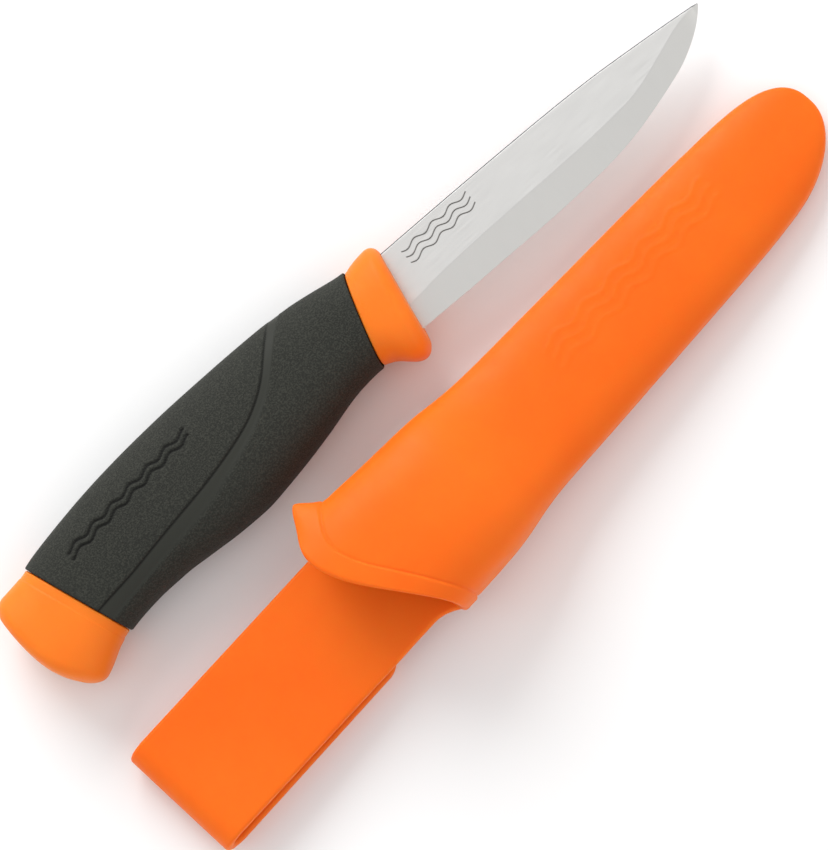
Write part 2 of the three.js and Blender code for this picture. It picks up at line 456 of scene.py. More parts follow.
class GroundSteel(Finish):
    """Stainless steel, rolled satin on the flats and ground across on the bevels.

    The eye sees pale, soft-gleaming flats with hair lines along the blade, and
    greyer bevels with finer lines across them, a painted dark reflection along the
    spine's corner where it turns away, and the mark etched dark grey.
    """

    name = "stainless_steel_ground"

    def __init__(self) -> None:
        """Build the steel."""
        super().__init__()
        bevel, spine, etched, x, y = (
            self.add("ShaderNodeAttribute", {}, "Fac", attribute_name=name)
            for name in ("bevel", "spine", "etched", "along_mm", "around_mm")
        )
        # Rolling and grinding lines are 0.02 to 0.1 mm wide; they are drawn at 0.25 mm.
        noise = "ShaderNodeTexNoise"
        longer = self.add("ShaderNodeMath", {0: x, 1: 0.03}, operation="MULTIPLY")
        taller = self.add("ShaderNodeMath", {0: y, 1: 0.04}, operation="MULTIPLY")
        hair = self.add("ShaderNodeCombineXYZ", {0: longer, 1: y})
        grind = self.add("ShaderNodeCombineXYZ", {0: x, 1: taller})
        rolled = self.add(noise, {"Vector": hair, "Scale": 3.6, "Detail": 3.0})
        ground = self.add(noise, {"Vector": grind, "Scale": 4.2, "Detail": 3.0})
        lines = self.add("ShaderNodeMix", {0: bevel, 2: rolled, 3: ground}, 0, data_type="FLOAT")
        steel = {0: bevel, 6: linear("D0CFCD"), 7: linear("D3D2CF")}
        faces = self.add("ShaderNodeMix", steel, 2, data_type="RGBA")
        # The spine's rounded corner is painted dark grey: a painted dark reflection where the corner
        # turns away.
        corner = {0: spine, 6: faces, 7: linear("3A3B3D")}
        body = self.add("ShaderNodeMix", corner, 2, data_type="RGBA")
        marked = {0: etched, 6: body, 7: linear("55524F")}
        self.surface(
            Base_Color=self.add("ShaderNodeMix", marked, 2, data_type="RGBA"),
            Metallic=1.0,
            Roughness=self.add(
                "ShaderNodeMapRange",
                {"Value": lines, "From Min": 0.3, "From Max": 0.7, "To Min": 0.34, "To Max": 0.46},
            ),
            Normal=self.add("ShaderNodeBump", {"Height": lines, "Distance": 0.004 * MM}, "Normal"),
        )


# ---------------------------------------------------------------- the knife


class Line(IntEnum):
    """The slanting lines that cut the handle into its parts."""

    BUTT = 0
    REAR = 1
    FRONT = 2
    FACE = 3


@dataclass
class KnifeShape:
    """Outlines of the knife along its own axis, in millimetres from the butt."""

    spine: Curve = Curve((
        (-8, 9.6), (0, 10.1), (5, 10.8), (10, 11.6), (15, 12.9), (20, 13.8), (26, 14.7),
        (33, 15.6), (42, 16.4), (52, 16.9), (62, 17.1), (76, 16.9), (90, 16.4),
        (100, 15.4), (106, 14.3), (110, 13.4), (113.5, 12.7), (115.6, 12.5), (117.5, 12.9),
        (120, 13.1), (130, 12.7),
    ), 0.9)
    belly: Curve = Curve((
        (-8, -20.6), (4, -20.6), (9, -20.2), (13, -18.8), (17, -16.9), (22, -15.6),
        (27, -14.9), (33, -14.5), (40, -14.6), (48, -15.4), (56, -16.2), (64, -16.5),
        (72, -15.7), (80, -14.5), (88, -13), (95, -11.4), (100, -10.6), (106, -10.3),
        (108.5, -10.7), (110.5, -11.6), (112.3, -13.4), (114.4, -15.3), (116.5, -15.8), (130, -15),
    ), 0.9)
    half: Curve = Curve((
        (-8, 9.4), (5, 9.7), (16, 9.9), (24, 10.1), (35, 10.5), (48, 10.9), (62, 11),
        (76, 10.6), (90, 9.8), (102, 9.2), (107, 9.5), (112, 10.2), (116, 10.5),
        (121, 10.2), (130, 9.6),
    ), 2.5)
    butt: Curve = Curve((
        (-24, 9), (-20, 6.8), (-17, 4.5), (-13, 2.2), (-8, 0.8), (-3, 0.2), (3, 0),
        (8, 0.2), (12, 0.9), (16, 2),
    ))
    rear_joint: tuple[float, float] = (16.2, -0.322)
    front_joint: tuple[float, float] = (110.8, 0.36)
    face: tuple[float, float] = (122.4, 0.225)
    gap: float = 0.12
    stem: float = 0.56
    power: float = 2.5
    sides: int = 272

    def lines(self, y: np.ndarray) -> np.ndarray:
        """Give x of the butt end, the two grip joints and the guard's face at y."""
        straight = [a + b * y for a, b in (self.rear_joint, self.front_joint, self.face)]
        return np.stack([self.butt(y), *straight])

    def surface(
        self, weights: np.ndarray, shift: np.ndarray, inset: np.ndarray, scale: np.ndarray
    ) -> np.ndarray:
        """Work out rings of the handle.

        Each ring follows a blend of the slanted lines. Across it the handle is a
        squarish oval between spine and belly, drawn in by inset and by scale. Since
        the lines depend on the height y, and y on x, both are found in turns.

        Args:
            weights: Share of each line in each ring, rings by four.
            shift: Distance beyond the blended line, one per ring.
            inset: Distance inward, per ring, or per ring and column.
            scale: Share of the full section, one per ring.

        Returns:
            Points, rings by sides by three.
        """
        turn = even_turns(self.sides, 16.0, 10.5, (self.power, self.power))
        across, out = bend(np.cos(turn), self.power), bend(np.sin(turn), self.power)
        inset = np.broadcast_to(inset if inset.ndim == 2 else inset[:, None], (len(shift), self.sides))
        x = (weights @ self.lines(np.zeros(1)))[:, :1] + shift[:, None] + 0 * out
        for _ in range(14):
            middle = (self.spine(x) + self.belly(x)) / 2
            half_y = (self.spine(x) - self.belly(x)) / 2
            y = middle + (half_y - inset) * scale[:, None] * across
            aim = np.einsum("rk,krc->rc", weights, self.lines(y)) + shift[:, None]
            x = 0.5 * x + 0.5 * aim
        z = (self.half(x) - inset) * scale[:, None] * out
        return np.stack([x, y, z], axis=-1)


@dataclass
class RingPlan:
    """A list of rings written in runs, for KnifeShape.surface."""

    rows: list[np.ndarray] = field(default_factory=list)

    def run(
        self,
        lines: tuple[Line, Line],
        count: int,
        share: tuple[float, float] = (0, 0),
        shift: tuple[float, float] = (0, 0),
        inset: tuple[float, float] = (0, 0),
        scale: tuple[float, float] = (1, 1),
    ) -> None:
        """Add rings whose values go evenly from the first of each pair to the second.

        Args:
            lines: The two lines that the rings follow a blend of.
            count: How many rings.
            share: Share of the second line in the blend.
            shift: Distance beyond the blended line.
            inset: Distance inward.
            scale: Share of the full section.
        """
        way = np.linspace(0, 1, count)[:, None]
        weights = np.zeros((count, len(Line)))
        mix = share[0] + (share[1] - share[0]) * way[:, 0]
        weights[:, lines[0]] += 1 - mix
        weights[:, lines[1]] += mix
        values = [first + (last - first) * way for first, last in (shift, inset, scale)]
        self.rows.append(np.hstack([weights, *values]))

    def fillet(self, line: Line, radius: float, rising: bool, flip: int, count: int) -> None:
        """Add a quarter round at a line.

        Args:
            line: Which line the round ends on.
            radius: Its radius.
            rising: True if the rings go outward, False if they go inward.
            flip: 1 if the body is beyond the line, -1 if it is before it.
            count: How many rings.
        """
        turn = np.linspace(0, np.pi / 2, count)
        turn = turn if rising else turn[::-1]
        weights = np.zeros((count, len(Line)))
        weights[:, line] = 1
        shift = flip * radius * (1 - np.cos(turn))
        inset = radius * (1 - np.sin(turn))
        self.rows.append(np.column_stack([weights, shift, inset, np.ones(count)]))

    def table(self) -> tuple[np.ndarray, np.ndarray, np.ndarray, np.ndarray]:
        """Return weights, shift, inset and scale of all rings."""
        shares, values = np.split(np.vstack(self.rows), [len(Line)], axis=1)
        return shares, values[:, 0], values[:, 1], values[:, 2]


@dataclass
class HandleCore:
    """The orange moulding: pommel, hidden stem and guard in one piece."""

    shape: KnifeShape
    place: Place
    butt_radius: float = 3.0
    face_radius: float = 3.0
    sunk: float = 0.5
    ledge: float = 0.18
    crown: float = 0.6

    def build(self) -> bpy.types.Object:
        """Make the moulding from the butt's pole to the pole behind the blade.

        The runs are: the crowned butt, the pommel, its sunken ledge and end wall, the
        hidden stem, then the guard's end wall, its flared body, and its face.

        Returns:
            The dressed object.
        """
        gap, sunk, ledge = self.shape.gap, self.sunk, self.ledge
        plan = RingPlan()
        plan.run((Line.BUTT, Line.BUTT), 14, inset=(self.butt_radius,) * 2, scale=(0.02, 1))
        plan.fillet(Line.BUTT, self.butt_radius, True, 1, 10)
        plan.run((Line.BUTT, Line.REAR), 34, (0.02, 1), (self.butt_radius, -3.2), (0, sunk - ledge))
        plan.run((Line.REAR, Line.REAR), 4, shift=(-3.0, -2.6), inset=(sunk - ledge, sunk))
        plan.run((Line.REAR, Line.REAR), 7, shift=(-2.4, -gap - 0.3), inset=(sunk, sunk))
        plan.run((Line.REAR, Line.REAR), 3, shift=(-gap - 0.2, -gap), inset=(sunk + 0.1, sunk + 0.4))
        plan.run((Line.REAR, Line.REAR), 5, shift=(-gap, -gap), scale=(0.9, self.shape.stem))
        plan.run((Line.REAR, Line.FRONT), 12, (0.02, 0.98), scale=(self.shape.stem,) * 2)
        plan.run((Line.FRONT, Line.FRONT), 5, shift=(gap, gap), scale=(self.shape.stem, 0.9))
        plan.run((Line.FRONT, Line.FRONT), 4, shift=(gap, gap + 0.3), inset=(sunk + 0.4, sunk))
        plan.run((Line.FRONT, Line.FRONT), 5, shift=(gap + 0.4, 2.0), inset=(sunk, 0.6 * sunk))
        up_to_face = (2.2, -self.face_radius - 0.2)
        plan.run((Line.FRONT, Line.FACE), 46, (0.03, 1), up_to_face, (0.6 * sunk, 0))
        plan.fillet(Line.FACE, self.face_radius, False, -1, 10)
        plan.run((Line.FACE, Line.FACE), 14, inset=(self.face_radius,) * 2, scale=(0.97, 0.02))
        weights, shift, inset, scale = plan.table()
        points = self.shape.surface(weights, shift, inset, scale)
        on_butt = weights[:, Line.BUTT, None] > 0.99
        points[..., 0] -= self.crown * (1 - scale**2)[:, None] * on_butt
        piece = Skin("handle_core_moulding", points).build(self.place)
        piece.data.materials.append(OrangeMoulding(HANDLE_SHADE).material)
        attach(piece, "knife")
        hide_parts("handle_core")
        return piece


@dataclass
class GripSleeve:
    """The black rubber moulded over the stem, with its sweeping channel."""

    shape: KnifeShape
    place: Place
    upper: Curve = Curve((
        (8, -10.6), (20, -8.9), (31, -7.9), (39, -6.8), (47.4, -5.7), (56, -4.6), (62.2, -3.5),
        (69.6, -1.8), (75.6, 0.2), (81, 3.1), (85, 6.2), (88, 9.3), (90.9, 12.3), (95, 16.6),
    ), 1.0)
    lower: Curve = Curve((
        (8, -14.8), (23, -12.1), (33, -10.8), (42.8, -9.5), (50, -8.6), (58, -6.9), (65, -5),
        (72.1, -3), (78.7, -0.4), (83, 2.1), (86.2, 4.6), (88.6, 6.7), (91.5, 9.5), (94.4, 12.4),
        (98, 16.2),
    ), 1.0)
    depth: float = 0.24
    groove: float = 0.24
    groove_depth: float = 0.22
    mark_depth: float = 0.4
    end_round: float = 0.45
    spine_fade: tuple[float, float] = (15.5, 13.0)
    mark: Waves = Waves(22.5, 63, 3.7, 7.4, 0.062, 2, 0.36, 0.3)

    def dress(self, x: np.ndarray, y: np.ndarray) -> tuple[np.ndarray, np.ndarray, np.ndarray]:
        """Work out the channel, its cut line and the mark.

        The channel drops steeply at its upper line, where a narrow V is cut, and
        climbs back over its lower line: in a step at both ends of the grip, and
        gently in the middle, where the palm rests.

        Args:
            x: Places along the grip.
            y: Heights across it.

        Returns:
            Depth in millimetres, a mask of the smooth channel, and a mask of the cuts, where near-black
            painted shade goes.
        """
        below = self.upper(x) - y
        width = np.maximum(self.upper(x) - self.lower(x), 1.0)
        ease = 0.25 + 1.6 * np.exp(-(((x - 60) / 16) ** 2))
        inside = step(-0.15, 0.2, below) * step(-ease, 0.25, width - below)
        line = np.exp(-((below / self.groove) ** 2))
        spine = step(*self.spine_fade, y)
        mark = self.mark.mask(x, y)
        sink = self.depth * inside * (0.35 + 0.65 * spine)
        sink += self.groove_depth * line * spine + self.mark_depth * mark
        return sink, inside, np.maximum(0.85 * line * spine, 0.8 * mark)

    def build(self) -> bpy.types.Object:
        """Make the sleeve as a ring-shaped skin: outside, front end, bore, rear end.

        Returns:
            The dressed object.
        """
        gap = self.shape.gap
        bore = self.shape.stem + 0.03
        plan = RingPlan()
        plan.run((Line.REAR, Line.REAR), 4, shift=(gap, gap), scale=(bore, 0.96))
        plan.fillet(Line.REAR, self.end_round, True, 1, 5)
        plan.run((Line.REAR, Line.FRONT), 322, (0.002, 0.998), (gap + 0.5, -gap - 0.5))
        plan.fillet(Line.FRONT, self.end_round, False, -1, 5)
        plan.run((Line.FRONT, Line.FRONT), 4, shift=(-gap, -gap), scale=(0.96, bore))
        plan.run((Line.FRONT, Line.REAR), 10, (0.02, 0.98), scale=(bore,) * 2)
        weights, shift, inset, scale = plan.table()
        flat = self.shape.surface(weights, shift, inset, scale)
        outside = (scale > 0.95)[:, None]
        sink, channel, cut = (layer * outside for layer in self.dress(flat[..., 0], flat[..., 1]))
        points = self.shape.surface(weights, shift, inset[:, None] + sink, scale)
        marks = {"channel": channel, "cut": cut}
        piece = Skin("grip_sleeve_rubber", points, marks, ring_closed=True).build(self.place)
        piece.data.materials.append(RubberGrip().material)
        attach(piece, "knife")
        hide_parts("grip_sleeve")
        return piece


@dataclass
class Blade:
    """The steel: blade and the tang that the handle is moulded round."""

    place: Place
    thick: float = 2.5
    edge_thick: float = 0.12
    start: float = 117.0
    end: float = 219.7
    tip_start: float = 205.0
    tang_start: float = 48.0
    tang_half: float = 6.0
    corner: float = 0.42
    corner_points: int = 5
    spine: Curve = Curve((
        (110, 10.4), (125, 9.9), (140, 9.4), (155, 8.8), (170, 8.1), (180, 7.5), (190, 6.7),
        (200, 5.5), (210, 4.2), (216, 3.3), (222, 2.4),
    ), 2.0)
    shoulder: Curve = Curve((
        (110, -4.2), (121, -3.9), (137, -3.2), (158, -3.5), (175, -3.9), (187, -3.8),
        (193, -3.4), (198, -2.4), (203, -0.9), (208, 0.7), (213, 2.1), (217, 2.6), (222, 2.3),
    ), 1.5)
    edge: Curve = Curve((
        (110, -9.6), (125, -10.3), (135, -10.8), (145, -11.1), (155, -11.5), (165, -11.7),
        (172, -11.7), (178, -11.5), (184, -11), (190, -10.1), (196, -8.8), (202, -7.3),
        (207, -5.8), (211, -4), (214, -2.3), (217, -0.2), (219.7, 2.4), (221, 3.8),
    ), 1.0)
    mark: Waves = Waves(128.5, 149.5, 2.4, 7.6, 0.0, 3, 0.16, 0.12)

    def build(self) -> bpy.types.Object:
        """Make the blade.

        Around each ring run a rounded spine, a flat, a flat bevel and a fine edge,
        then the same back. The tang is the same ring squeezed to a narrow bar.

        Returns:
            The dressed object.
        """
        x = np.concatenate([
            np.linspace(self.tang_start, self.start - 0.5, 12),
            np.linspace(self.start, self.mark.start - 0.2, 14),
            np.arange(self.mark.start, self.mark.stop + 0.2, 0.15),
            np.linspace(self.mark.stop + 0.6, self.tip_start, 80),
            self.end - (self.end - self.tip_start) * np.linspace(1, 0, 60)[1:] ** 1.5,
        ])[:, None]
        tang = (x < self.start - 0.2) * 1.0
        spine = self.spine(x) * (1 - tang) + self.tang_half * tang
        edge = self.edge(x) * (1 - tang) - self.tang_half * tang
        spine = np.maximum(spine, edge + 0.02)
        low = self.tang_half - 0.1
        shoulder = np.clip(self.shoulder(x), edge, spine - 0.01) * (1 - tang) - low * tang
        fade = np.clip((spine - edge) / 2.2, 0.03, 1)
        half = self.thick / 2 * fade
        thin = np.minimum(self.edge_thick / 2, half) * (1 - tang) + half * tang
        corner = self.corner * fade
        flat = np.linspace(0, 1, 92)[1:]
        slope = np.linspace(0, 1, 14)[1:]
        round_off = np.linspace(0.5, 0, self.corner_points) * np.pi
        top_y = spine - corner + corner * np.sin(round_off)
        top_z = half - corner + corner * np.cos(round_off)
        flat_y = spine - corner + (shoulder - spine + corner) * flat
        bevel_y = shoulder + (edge - shoulder) * slope
        bevel_z = half + (thin - half) * slope
        y = np.hstack([top_y, flat_y, bevel_y])
        z = np.hstack([top_z, half + 0 * flat_y, bevel_z])
        side = y.shape[1]
        y = np.hstack([y, y[:, ::-1]])
        z = np.hstack([z, -z[:, ::-1]])
        points = np.stack([x + 0 * y, y, z], axis=-1)
        last_flat = side - 1 - len(slope)
        column = np.arange(2 * side)
        column = np.minimum(column, 2 * side - 1 - column)
        marks = {
            "along_mm": x,
            "around_mm": y,
            "bevel": (column > last_flat) * 1.0,
            # The spine's corner columns, which the steel paints dark as a painted dark reflection.
            "spine": ((column > 0) & (column < self.corner_points - 1)) * 1.0,
            "etched": self.mark.mask(x + 0 * y, y) * (z > 0) * (1 - tang),
        }
        sharp = tuple(np.flatnonzero(np.isin(column, (last_flat, side - 1))))
        piece = Skin("blade_steel", points, marks, sharp).build(self.place)
        piece.data.materials.append(GroundSteel().material)
        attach(piece, "knife")
        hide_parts("blade")
        return piece


# ---------------------------------------------------------------- the sheath


@dataclass
class SheathShell:
    """The orange pocket with its wide mouth, rolled lip and thumb ear."""

    place: Place
    end: float = 223.1
    tip_start: float = 195.0
    tip_powers: tuple[tuple[float, float], ...] = ((2.35, 0.43), (3.2, 0.45))
    tip_rise: float = 3.0
    wall: float = 2.0
    back: float = 2.5
    sides: int = 220
    powers: tuple[float, float] = (4.5, 2.8)
    half: Curve = Curve((
        (50, 19.8), (64, 20), (76, 20.3), (88, 19.9), (98, 19.5), (104, 19), (110, 18.1),
        (117, 17.5), (135, 17), (155, 16.4), (175, 15.8), (190, 15.2), (200, 14.6), (224, 14.2),
    ), 2.0)
    middle: Curve = Curve((
        (50, 0.3), (64, 0.3), (76, 0), (88, -0.5), (98, -0.6), (106, -0.2), (117, 0.1),
        (190, 0.1), (205, 0.4), (214, 1.2), (224, 2.5),
    ), 3.0)
    front: Curve = Curve((
        (50, 25.4), (64, 26), (76, 26), (88, 25.7), (97, 24.8), (104, 22.8), (111, 18.8),
        (118, 15.8), (128, 14.1), (155, 12.8), (175, 12), (193, 11.2), (208, 10.3), (224, 8.8),
    ), 3.0)
    lip_front: Curve = Curve((
        (-26, 82.6), (-21, 79.5), (-17, 77), (-13.2, 74.4), (-9.9, 72.1), (-6.6, 69.9),
        (-1.9, 67), (1.6, 65.1), (5.4, 63.6), (9.8, 62.5), (12.6, 62.4), (15.6, 63.2),
        (18.2, 65), (20, 66.6), (26, 70),
    ), 1.2)
    lip_right: Curve = Curve(((-1, 78.6), (3, 78.8), (8, 79.1), (14, 79.4)), 0.6)
    lip_left: Curve = Curve(((-1, 75), (2.5, 74), (6, 71.4), (9, 69), (14, 66.6)), 0.6)
    rim: Curve = Curve((
        (-24, 4.4), (-17, 4.7), (-11.4, 5.4), (-7, 5.8), (0, 5.9), (6, 5.8), (9, 6), (11.3, 6.5),
        (14, 7.3), (17.6, 8.3), (24, 9.5),
    ), 1.5)
    ear: Curve = Curve((
        (-2, 0), (0, 0), (0.9, 1.1), (2.2, 3.1), (3.4, 4.5), (4.1, 4.8), (5, 4.2), (6.9, 2.2),
        (8.9, 0.5), (10.6, 0), (14, 0),
    ), 0.35)
    ear_height: float = 19.5
    ear_depth: float = 2.7
    rim_height: float = 0.32
    mark_height: float = 0.08
    mark: Waves = Waves(136, 192, -0.5, 8.5, 0.0, 3, 0.6, 0.5)

    def section(
        self, x: np.ndarray, turn: np.ndarray, inset: np.ndarray, inner: np.ndarray
    ) -> np.ndarray:
        """Give y and z at place x and angle turn.

        The section is a squarish oval, flat behind and rounder in front. Its width
        and its depth shrink to nothing at the tip along two blunt curves: one less
        the distance to the first of tip_powers, raised to the second.

        Args:
            x: Place along the sheath.
            turn: Angle around the section, 0 on the thumb side, a quarter in front.
            inset: Distance inward from the outside.
            inner: 1 on the inner face, where the back wall is thicker.

        Returns:
            y and z, stacked last.
        """
        blunt = np.clip((x - self.tip_start) / (self.end - inset - self.tip_start), 0, 1)
        wide, deep = ((1 - blunt**fall) ** close for fall, close in self.tip_powers)
        low = self.tip_rise * blunt**3 + inset + (self.back - self.wall) * inner
        high = self.front(x) - inset
        centre = (low + high) / 2
        power = np.where(np.sin(turn) < 0, *self.powers)
        y = self.middle(x) + (self.half(x) - inset) * wide * bend(np.cos(turn), power)
        z = centre + (high - low) / 2 * deep * bend(np.sin(turn), power)
        return np.stack([y, z], axis=-1)

    def lip(self, turn: np.ndarray) -> np.ndarray:
        """Give the place of the lip at each angle.

        In front it follows one line across; on each side it follows another down the
        wall. A short bell curve around the ring rounds the joins.

        Args:
            turn: The angles, in one row.

        Returns:
            The lip's place along the sheath, in one row.
        """
        around = self.section(np.full_like(turn, 70.0), turn, np.zeros(1), np.zeros(1))
        side = np.where(np.cos(turn) < 0, self.lip_right(around[..., 1]), self.lip_left(around[..., 1]))
        line = np.where(np.sin(turn) < 0, side, self.lip_front(around[..., 0])).ravel()
        bell = np.exp(-0.5 * (np.arange(-6, 7) / 2.2) ** 2)
        return np.convolve(np.pad(line, 6, mode="wrap"), bell / bell.sum(), mode="valid")[None, :]

    def build(self) -> bpy.types.Object:
        """Make the shell from the outer tip up to the lip and down the inside.

        Rings start on the slanting lip and ease into square ones at the tip. The rim
        stands proud for its width from the lip, with a fine groove behind it, and
        the ear swells outwards beside the lip.

        Returns:
            The dressed object.
        """
        turn = even_turns(self.sides, 19.0, 10.0, self.powers)[None, :]
        start = self.lip(turn)
        edge = self.wall / 2
        near = start + edge + np.linspace(0, 12, 56)[:, None]
        far = 1 - (1 - np.linspace(0, 1, 290)[1:, None]) ** 1.25
        outer = np.vstack([near, near[-1] * (1 - far) + self.end * far])[::-1]
        roll = np.linspace(0, np.pi, 11)[1:-1, None]
        depth = 1 - (1 - np.linspace(0, 1, 60)[:, None]) ** 1.5
        inner = (start + edge) * (1 - depth) + (self.end - self.wall) * depth
        x = np.vstack([outer, start + edge * (1 - np.sin(roll)), inner])
        counts = (len(outer), len(roll), len(inner))
        inside = np.repeat([0.0, 0.5, 1.0], counts)[:, None]
        inside[counts[0] : counts[0] + counts[1]] = 0.5 - 0.5 * np.cos(roll)
        inset = self.wall * inside + 0 * x
        plain = self.section(x, turn, inset, inside)
        beyond = x - start
        side = step(2.0, 6.0, plain[..., 1])
        rim = self.rim(plain[..., 0])
        raised = (1 - step(rim - 0.4, rim + 0.15, beyond)) * side * (1 - inside)
        groove = np.exp(-(((beyond - rim - 0.1) / 0.35) ** 2)) * side * (inside < 0.5)
        face = (np.sin(turn) > 0) * (inside < 0.5)
        mark = self.mark.mask(x, plain[..., 0]) * face
        sunk = inset - self.rim_height * raised + 0.2 * groove - self.mark_height * mark
        sides = self.section(x, turn, sunk, inside)
        swell = np.exp(-(((plain[..., 1] - self.ear_height) / self.ear_depth) ** 2))
        sides[..., 0] += self.ear(beyond) * swell * (np.cos(turn) > 0) * (1 - inside)
        points = np.concatenate([x[..., None], sides], axis=-1)
        piece = Skin("sheath_shell", points).build(self.place)
        piece.data.materials.append(OrangeMoulding(SHEATH_SHADE).material)
        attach(piece, "sheath")
        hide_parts("sheath_body")
        return piece


@dataclass
class BeltClip:
    """The back plate, folded over into the spring tongue, as one strip."""

    place: Place
    thick: float = 2.5
    half: float = 16.1
    plate_end: float = 82.0
    tongue_end: float = 61.6
    web: tuple[float, float, float] = (72.4, 79.6, 2.9)
    depth: float = 9.5
    corner: float = 6.0
    edge: float = 0.9
    end_round: float = 1.2
    tuck: float = 0.06
    tucked: tuple[float, float] = (62.0, 66.0)

    def path(self) -> tuple[np.ndarray, np.ndarray, np.ndarray]:
        """Trace the strip's middle: plate, half-round fold, tongue.

        Returns:
            Points in x and z, their outward normals, and the distance travelled.
        """
        rise = math.tan(self.place.lean)
        radius = (self.thick + self.depth) / (2 + rise)
        centre = self.thick - radius
        mid = radius - self.thick / 2
        plate_count = 90
        plate_x = np.linspace(self.plate_end, radius, plate_count)
        turn = np.linspace(0.5, 1.5, 40)[1:-1] * np.pi
        corner_x = self.tongue_end - self.corner - 2
        tongue_x = np.concatenate([
            np.linspace(radius, corner_x, 50),
            np.linspace(corner_x, self.tongue_end, 40)[1:],
        ])
        x = np.concatenate([plate_x, radius + mid * np.cos(turn), tongue_x])
        z = np.concatenate([
            np.full(plate_count, self.thick / 2),
            centre + mid * np.sin(turn),
            tongue_x * rise - self.depth + self.thick / 2,
        ])
        slope = np.stack([np.gradient(x), np.gradient(z)], axis=-1)
        slope /= np.linalg.norm(slope, axis=1, keepdims=True)
        normal = np.stack([slope[:, 1], -slope[:, 0]], axis=-1)
        travel = np.concatenate([[0], np.cumsum(np.hypot(np.diff(x), np.diff(z)))])
        return np.stack([x, z], axis=-1), normal, travel

    def build(self) -> bpy.types.Object:
        """Carry a rounded bar section along the path.

        The bar is a squarish oval: its edges are round and its faces flat. Its half
        width follows a quarter circle at the tongue's corners, and a parabola where the
        plate widens into a web beside the mouth. Its thickness closes in a round over
        end_round. Under the shell it is drawn in by tuck.

        Returns:
            The dressed object.
        """
        path, normal, travel = self.path()
        left = travel[-1] - travel
        inward = np.clip(self.corner - left, 0, self.corner)
        half = self.half - (self.corner - np.sqrt(np.maximum(self.corner**2 - inward**2, 0)))
        web_start, web_end, web_reach = self.web
        grown = np.clip((path[:, 0] - web_start) / (web_end - web_start), 0, 1) ** 2
        half = half + web_reach * grown * step(self.plate_end, web_end, path[:, 0])
        near_end = 1 - np.clip(left / self.end_round, 0, 1)
        close = np.sqrt(np.clip(1 - near_end**2, 0.0004, 1))
        tuck = self.tuck * step(*self.tucked, path[:, 0]) * (travel < 60)
        full = self.thick / 2
        thick = (full - tuck) * close
        quarter = np.linspace(0, np.pi / 2, 7)
        face = np.linspace(-1, 1, 26)
        round_y = np.cos(quarter)
        round_z = np.sin(quarter)
        edge = self.edge
        side_y = (half - tuck)[:, None] - edge + edge * round_y[None, :]
        side_z = (full - edge + edge * round_z[None, :]) / full * thick[:, None]
        top_y = ((half - tuck - edge)[:, None]) * -face[None, 1:-1]
        top_z = thick[:, None] + 0 * top_y
        y = np.hstack([side_y, top_y, -side_y[:, ::-1], -side_y, -top_y, side_y[:, ::-1]])
        z = np.hstack([side_z, top_z, side_z[:, ::-1], -side_z, -top_z, -side_z[:, ::-1]])
        x = path[:, :1] + z * normal[:, :1]
        up = path[:, 1:] + z * normal[:, 1:]
        points = np.stack([x, y, up], axis=-1)
        piece = Skin("belt_clip_strip", points).build(self.place)
        piece.data.materials.append(OrangeMoulding(SHEATH_SHADE).material)
        # Points at depths below the plate and above the tongue; nothing uses them.
        ends = self.place.row(np.array([[30.0, 0, -0.2], [30.0, 0, -4.2]]))
        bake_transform(piece)
        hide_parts("belt_clip")
        return piece


# ---------------------------------------------------------------- the studio


@dataclass(frozen=True)
class Lamp:
    """A square light that faces the middle of the model, in metres and watts."""

    name: str
    spot: tuple[float, float, float]
    power: float
    width: float = 1.1


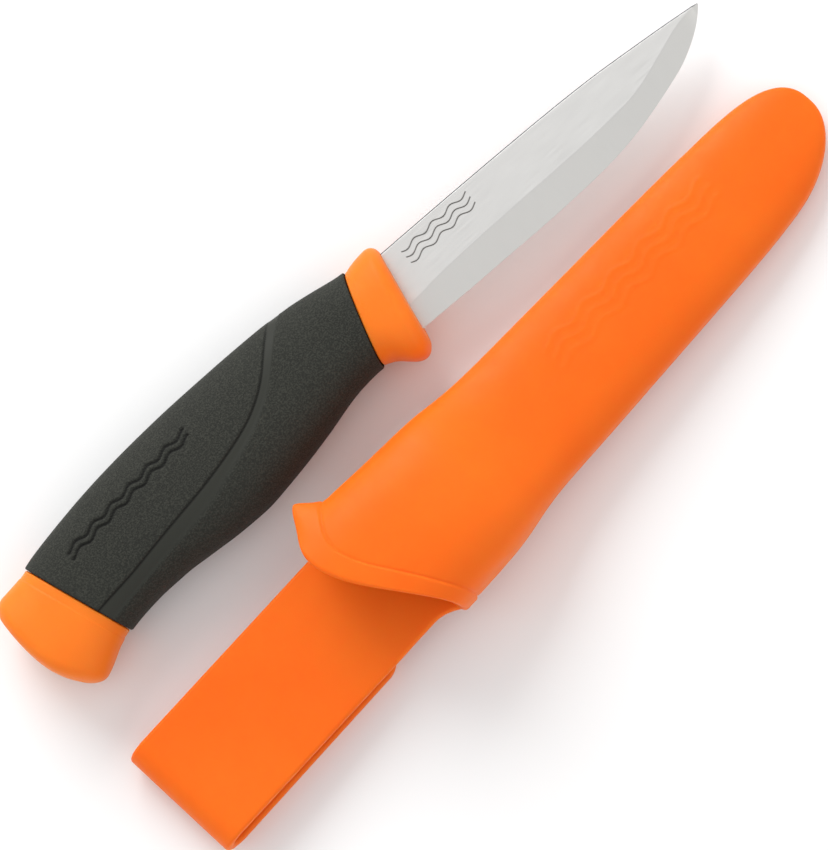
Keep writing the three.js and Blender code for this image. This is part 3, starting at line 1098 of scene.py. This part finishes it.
@dataclass
class Studio:
    """A pale floor, soft lights and the camera, all at fixed places."""

    tilt: float = math.radians(10.8)
    roll: float = math.radians(47.78)
    distance: float = 1.4
    view_width: float = 0.1948
    sensor: float = 36.0
    aim: tuple[float, float, float] = (-0.00802, -0.0043, 0.012)
    lamps: tuple[Lamp, ...] = (
        Lamp("key_light", (0.5, 1.25, 0.9), 21.0),
        Lamp("fill_light", (0.5, -0.95, 0.75), 1.0),
    )
    surround: float = 0.86
    floor_reach: float = 3.0
    floor_gap: float = 0.0002

    def build(self) -> None:
        """Lay the floor, hang the lights and stand the camera."""
        self._floor()
        self._world()
        self._camera()
        for lamp in self.lamps:
            self._light(lamp)
        # A plain display curve, so that a colour shows as its hex value says.
        bpy.context.scene.view_settings.view_transform = "Standard"

    def _floor(self) -> None:
        """Make a plain pale floor wide enough for every view."""
        mesh = bpy.data.meshes.new("floor")
        reach = self.floor_reach
        corners = [(-reach, -reach, 0), (reach, -reach, 0), (reach, reach, 0), (-reach, reach, 0)]
        mesh.from_pydata(corners, [], [(0, 1, 2, 3)])
        floor = bpy.data.objects.new("floor", mesh)
        bpy.context.scene.collection.objects.link(floor)
        floor.location.z = -self.floor_gap
        paint = Finish()
        paint.material.name = "matt_white_floor"
        paint.surface(Base_Color=linear("F2F2F2"), Roughness=0.9)
        mesh.materials.append(paint.material)

    def _world(self) -> None:
        """Give an even pale surround."""
        world = bpy.data.worlds.new("studio")
        world.use_nodes = True
        background = world.node_tree.nodes["Background"]
        background.inputs["Color"].default_value = (1, 1, 1, 1)
        background.inputs["Strength"].default_value = self.surround
        bpy.context.scene.world = world

    def _light(self, lamp: Lamp) -> None:
        """Hang a square light and point it at the middle of the model.

        Args:
            lamp: Its name, place, power and width.
        """
        data = bpy.data.lights.new(lamp.name, "AREA")
        data.energy = lamp.power
        data.size = lamp.width
        hung = bpy.data.objects.new(lamp.name, data)
        bpy.context.scene.collection.objects.link(hung)
        away = np.array(lamp.spot) - np.array(self.aim)
        hung.matrix_world = Matrix.Translation(lamp.spot) @ self._facing(-away)

    @staticmethod
    def _facing(direction: np.ndarray) -> Matrix:
        """Work out the turn that points an object's own -Z along a direction.

        Args:
            direction: Where it should look.

        Returns:
            The turn, as a 4 by 4 matrix.
        """
        back = -direction / np.linalg.norm(direction)
        right = np.cross((0.0, 1.0, 0.0), back)
        right /= np.linalg.norm(right)
        up = np.cross(back, right)
        return Matrix(np.column_stack([right, up, back]).tolist()).to_4x4()

    def _camera(self) -> None:
        """Stand the camera above, tipped a little to the sheath's open side and rolled."""
        level = np.array([1.0, 0.0, 0.0])
        rising = np.array([0.0, math.cos(self.tilt), math.sin(self.tilt)])
        view = np.array([0.0, math.sin(self.tilt), -math.cos(self.tilt)])
        right = math.cos(self.roll) * level - math.sin(self.roll) * rising
        up = math.sin(self.roll) * level + math.cos(self.roll) * rising
        turn = Matrix(np.column_stack([right, up, -view]).tolist()).to_4x4()
        spot = np.array(self.aim) - view * self.distance
        data = bpy.data.cameras.new("camera")
        data.sensor_fit = "HORIZONTAL"
        data.sensor_width = self.sensor
        data.lens = self.distance / self.view_width * self.sensor
        camera = bpy.data.objects.new("camera", data)
        bpy.context.scene.collection.objects.link(camera)
        camera.matrix_world = Matrix.Translation(spot) @ turn
        bpy.context.scene.camera = camera


# ---------------------------------------------------------------- putting it together


# From the fold to where the sheath's back touches the floor.
BACK_REST = 208.0
# From the sheath's origin to the knife's, along X and Y.
KNIFE_SHIFT = (3.1, 53.6)
KNIFE_TURN = math.radians(-5.2)


def sheath_place() -> Place:
    """Find the sheath's own axes: it leans so that its clip and its tip both rest.

    Returns:
        The sheath's place.
    """
    low, high = (np.array(corner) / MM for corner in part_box("belt_clip"))
    lean = math.asin(BeltClip.depth / BACK_REST)
    radius = (BeltClip.thick + BeltClip.depth) / (2 + math.tan(lean))
    fold = radius * math.cos(lean) + (BeltClip.thick - radius) * math.sin(lean) - radius
    origin = (low[0] - fold, (low[1] + high[1]) / 2, BeltClip.depth * math.cos(lean))
    return Place(origin, lean=lean)


def knife_place(sheath: Place) -> Place:
    """Find the knife's own axes: it lies on its side, beside the sheath.

    Args:
        sheath: The sheath's place.

    Returns:
        The knife's place.
    """
    low, high = (np.array(corner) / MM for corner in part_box("blade"))
    x, y = (start + shift for start, shift in zip(sheath.origin, KNIFE_SHIFT))
    return Place((x, y, (low[2] + high[2]) / 2), turn=KNIFE_TURN)


def main() -> None:
    """Build every piece in order and report each one."""
    logging.basicConfig(level=logging.INFO, format="%(message)s")
    sheath = sheath_place()
    knife = knife_place(sheath)
    shape = KnifeShape()
    parts = (
        Blade(knife),
        HandleCore(shape, knife),
        GripSleeve(shape, knife),
        SheathShell(sheath),
        BeltClip(sheath),
    )
    for part in parts:
        piece = part.build()
        LOG.info("%s: %d faces", piece.name, len(piece.data.polygons))
    Studio().build()
    LOG.info("studio ready")


if __name__ == "__main__":
    main()
